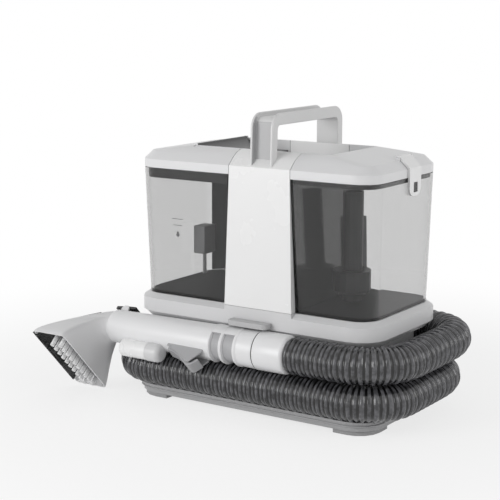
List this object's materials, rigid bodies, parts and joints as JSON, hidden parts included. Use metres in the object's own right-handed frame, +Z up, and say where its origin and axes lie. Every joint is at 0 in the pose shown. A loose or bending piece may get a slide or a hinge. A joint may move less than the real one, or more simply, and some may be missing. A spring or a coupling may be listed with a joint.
{
  "type": "spot extractor",
  "caption": "Portable carpet and upholstery spot cleaner with two clear lift-off tanks, a carry handle, and a ribbed hose wound round its base to a hand wand with a brush nozzle.",
  "frame": {"origin": "centre of the flat pad under the bottom cover, on the floor", "axes": "+X along the machine towards the dirty water tank, +Y to its back, +Z up"},
  "size_m": [0.4252, 0.2855, 0.3248],
  "materials": {
    "white_plastic": "satin moulded",
    "light_grey_plastic": "fine moulded texture",
    "mid_grey_plastic": "fine moulded texture",
    "dark_grey_plastic": "fine moulded texture",
    "hose_plastic": "extruded ribbed polyethylene",
    "smoke_clear_plastic": "polished clear",
    "dark_clear_plastic": "polished tinted",
    "black_rubber": "matt moulded",
    "steel": "plain turned",
    "motor_steel": "rolled and pressed",
    "circuit_board": "lacquered glass fibre",
    "nylon_bristle": "drawn nylon strands"
  },
  "bodies": {
    "machine": {"base_plate": "mid_grey_plastic", "bottom_cover": "mid_grey_plastic", "foot_front_left": "black_rubber", "foot_front_right": "black_rubber", "foot_back_left": "black_rubber", "foot_back_right": "black_rubber", "lower_housing": "mid_grey_plastic", "deck": "light_grey_plastic", "column_front": "white_plastic", "column_rear": "white_plastic", "column_side_left": "dark_grey_plastic", "column_side_right": "dark_grey_plastic", "handle": "white_plastic", "clean_dock_seat": "black_rubber", "dirty_dock_seal": "black_rubber", "vacuum_motor": "motor_steel", "fan_housing": "dark_grey_plastic", "pump": "dark_grey_plastic", "control_board": "circuit_board", "cord_inlet": "black_rubber", "hose_connector": "mid_grey_plastic", "hose": "hose_plastic", "hose_collar": "white_plastic", "wand_body": "white_plastic", "wand_grip": "light_grey_plastic", "spray_valve": "white_plastic", "spray_valve_cap": "light_grey_plastic", "trigger_pin": "steel", "wand_rest": "light_grey_plastic", "rear_screw_1": "steel", "rear_screw_2": "steel", "rear_screw_3": "steel", "rear_screw_4": "steel"},
    "clean_tank": {"clean_tank": "smoke_clear_plastic", "clean_tank_liner": "dark_grey_plastic", "water_filter": "mid_grey_plastic", "pickup_tube": "light_grey_plastic", "clean_valve": "dark_grey_plastic"},
    "clean_lid": {"clean_tank_lid": "white_plastic", "clean_lid_seal": "black_rubber", "flap_pin": "steel"},
    "fill_flap": {"fill_flap": "dark_grey_plastic"},
    "dirty_tank": {"dirty_tank": "smoke_clear_plastic", "standpipe": "dark_clear_plastic", "inlet_duct": "dark_clear_plastic"},
    "dirty_lid": {"dirty_tank_lid": "white_plastic", "dirty_lid_seal": "black_rubber", "latch_pin": "steel"},
    "lid_latch": {"lid_latch": "white_plastic", "latch_catch": "dark_grey_plastic"},
    "float": {"float": "dark_grey_plastic"},
    "impeller": {"impeller": "dark_grey_plastic"},
    "power_button": {"power_button": "dark_grey_plastic"},
    "trigger": {"trigger": "light_grey_plastic"},
    "nozzle": {"nozzle_head": "light_grey_plastic", "nozzle_window": "dark_clear_plastic", "nozzle_brush": "nylon_bristle", "spray_jet": "mid_grey_plastic"},
    "nozzle_latch": {"nozzle_latch": "dark_grey_plastic"}
  },
  "joints": [
    {"name": "clean_tank_lift", "type": "slide", "parent": "machine", "child": "clean_tank", "axis": [0, 0, 1], "range_m": [0, 0.04]},
    {"name": "clean_lid_lift", "type": "slide", "parent": "clean_tank", "child": "clean_lid", "axis": [0, 0, 1], "range_m": [0, 0.03]},
    {"name": "fill_flap_hinge", "type": "hinge", "parent": "clean_lid", "child": "fill_flap", "pos_m": [-0.084, 0, 0.2842], "axis": [0, -1, 0], "range_deg": [0, 75]},
    {"name": "dirty_tank_lift", "type": "slide", "parent": "machine", "child": "dirty_tank", "axis": [0, 0, 1], "range_m": [0, 0.04]},
    {"name": "dirty_lid_lift", "type": "slide", "parent": "dirty_tank", "child": "dirty_lid", "axis": [0, 0, 1], "range_m": [0, 0.03]},
    {"name": "lid_latch_hinge", "type": "hinge", "parent": "dirty_lid", "child": "lid_latch", "pos_m": [0.1372, 0.011, 0.28], "axis": [0, -1, 0], "range_deg": [0, 60]},
    {"name": "float_rise", "type": "slide", "parent": "dirty_tank", "child": "float", "axis": [0, 0, 1], "range_m": [0, 0.07]},
    {"name": "impeller_spin", "type": "hinge", "parent": "machine", "child": "impeller", "pos_m": [0.014, 0.025, 0.13], "axis": [0, 0, 1], "continuous": true},
    {"name": "power_button_press", "type": "slide", "parent": "machine", "child": "power_button", "axis": [0, -1, 0], "range_m": [0, 0.0025], "stiffness_N_per_m": 400},
    {"name": "trigger_squeeze", "type": "hinge", "parent": "machine", "child": "trigger", "pos_m": [-0.079, -0.10226, 0.0642], "axis": [0, -0.682, 0.7314], "range_deg": [0, 8], "stiffness_Nm_per_rad": 0.6},
    {"name": "nozzle_pull", "type": "slide", "parent": "machine", "child": "nozzle", "axis": [-1, 0, 0], "range_m": [0, 0.02]},
    {"name": "nozzle_latch_press", "type": "hinge", "parent": "machine", "child": "nozzle_latch", "pos_m": [-0.1645, -0.07308, 0.09141], "axis": [0, 0.682, -0.7314], "range_deg": [0, 10], "stiffness_Nm_per_rad": 0.2}
  ]
}
